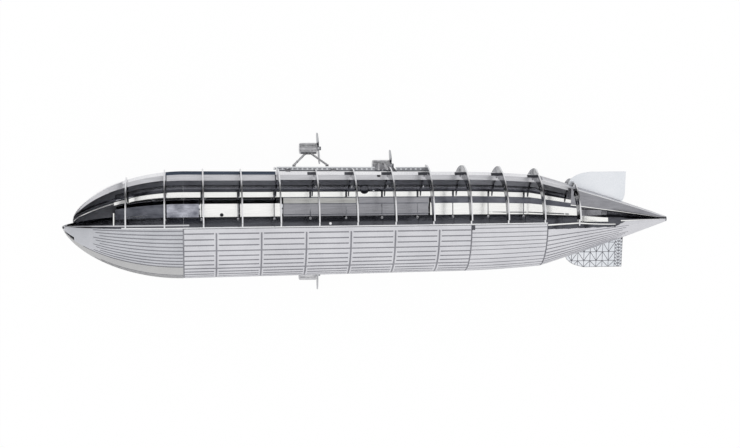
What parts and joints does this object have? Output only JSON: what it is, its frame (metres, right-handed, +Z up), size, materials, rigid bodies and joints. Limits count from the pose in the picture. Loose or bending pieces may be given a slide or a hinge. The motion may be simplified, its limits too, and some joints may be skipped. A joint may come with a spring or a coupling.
{
  "type": "airship model",
  "caption": "Sheet-steel desk model of a rigid airship, etched skin cut away on one side over ring frames, with engine cars and turning propellers.",
  "frame": {"origin": "middle of the model's box, at the level of the engine cars' floors that it stands on", "axes": "+X from nose to tail, +Y starboard, the cutaway side, +Z up from the floor"},
  "size_m": [0.1842, 0.0498, 0.0341],
  "materials": {
    "etched_skin": "satin etched stainless sheet with fine etched lines",
    "mirror_skin": "mirror-polished stainless sheet",
    "ring_steel": "polished stainless sheet, bright cut edges",
    "stringer_steel": "polished stainless strip",
    "window_steel": "polished strip with pierced windows",
    "car_steel": "satin etched sheet, folded",
    "strut_steel": "etched lattice strip",
    "propeller_steel": "satin sheet, twisted blades",
    "pin_steel": "turned steel pin",
    "control_steel": "satin etched sheet, folded",
    "fin_steel": "pale satin sheet with an etched lattice",
    "cap_steel": "dark satin steel"
  },
  "bodies": {
    "root": {"nose_port_skin": "etched_skin", "mid_port_skin": "etched_skin", "aft_port_skin": "etched_skin", "tail_port_skin": "etched_skin", "nose_starboard_skin": "mirror_skin", "mid_starboard_skin": "mirror_skin", "aft_starboard_skin": "mirror_skin", "tail_starboard_skin": "mirror_skin", "ring_frame_01": "ring_steel", "ring_frame_02": "ring_steel", "ring_frame_03": "ring_steel", "ring_frame_04": "ring_steel", "ring_frame_05": "ring_steel", "ring_frame_06": "ring_steel", "ring_frame_07": "ring_steel", "ring_frame_08": "ring_steel", "ring_frame_09": "ring_steel", "ring_frame_10": "ring_steel", "ring_frame_11": "ring_steel", "ring_frame_12": "ring_steel", "ring_frame_13": "ring_steel", "ridge_stringer": "stringer_steel", "side_stringer": "stringer_steel", "keel_plate": "stringer_steel", "starboard_window_band": "window_steel", "port_window_band": "window_steel", "starboard_fwd_car": "car_steel", "starboard_fwd_bulkhead": "car_steel", "starboard_fwd_struts": "strut_steel", "starboard_fwd_shaft": "pin_steel", "port_fwd_car": "car_steel", "port_fwd_bulkhead": "car_steel", "port_fwd_struts": "strut_steel", "port_fwd_shaft": "pin_steel", "starboard_aft_car": "car_steel", "starboard_aft_bulkhead": "car_steel", "starboard_aft_struts": "strut_steel", "starboard_aft_shaft": "pin_steel", "port_aft_car": "car_steel", "port_aft_bulkhead": "car_steel", "port_aft_struts": "strut_steel", "port_aft_shaft": "pin_steel", "control_car": "control_steel", "control_deck": "control_steel", "starboard_fin": "fin_steel", "port_fin": "fin_steel", "ventral_fin": "fin_steel", "nose_cap": "cap_steel", "tail_cap": "cap_steel"},
    "starboard_fwd_propeller": {"starboard_fwd_propeller": "propeller_steel"},
    "port_fwd_propeller": {"port_fwd_propeller": "propeller_steel"},
    "starboard_aft_propeller": {"starboard_aft_propeller": "propeller_steel"},
    "port_aft_propeller": {"port_aft_propeller": "propeller_steel"}
  },
  "joints": [
    {"name": "starboard_fwd_spin", "type": "hinge", "parent": "root", "child": "starboard_fwd_propeller", "pos_m": [-0.01473, 0.02004, 0.0016], "axis": [1, 0, 0], "continuous": true},
    {"name": "port_fwd_spin", "type": "hinge", "parent": "root", "child": "port_fwd_propeller", "pos_m": [-0.01473, -0.02004, 0.0016], "axis": [1, 0, 0], "continuous": true},
    {"name": "starboard_aft_spin", "type": "hinge", "parent": "root", "child": "starboard_aft_propeller", "pos_m": [0.00797, 0.01451, 0.0016], "axis": [1, 0, 0], "continuous": true},
    {"name": "port_aft_spin", "type": "hinge", "parent": "root", "child": "port_aft_propeller", "pos_m": [0.00797, -0.01451, 0.0016], "axis": [1, 0, 0], "continuous": true}
  ]
}
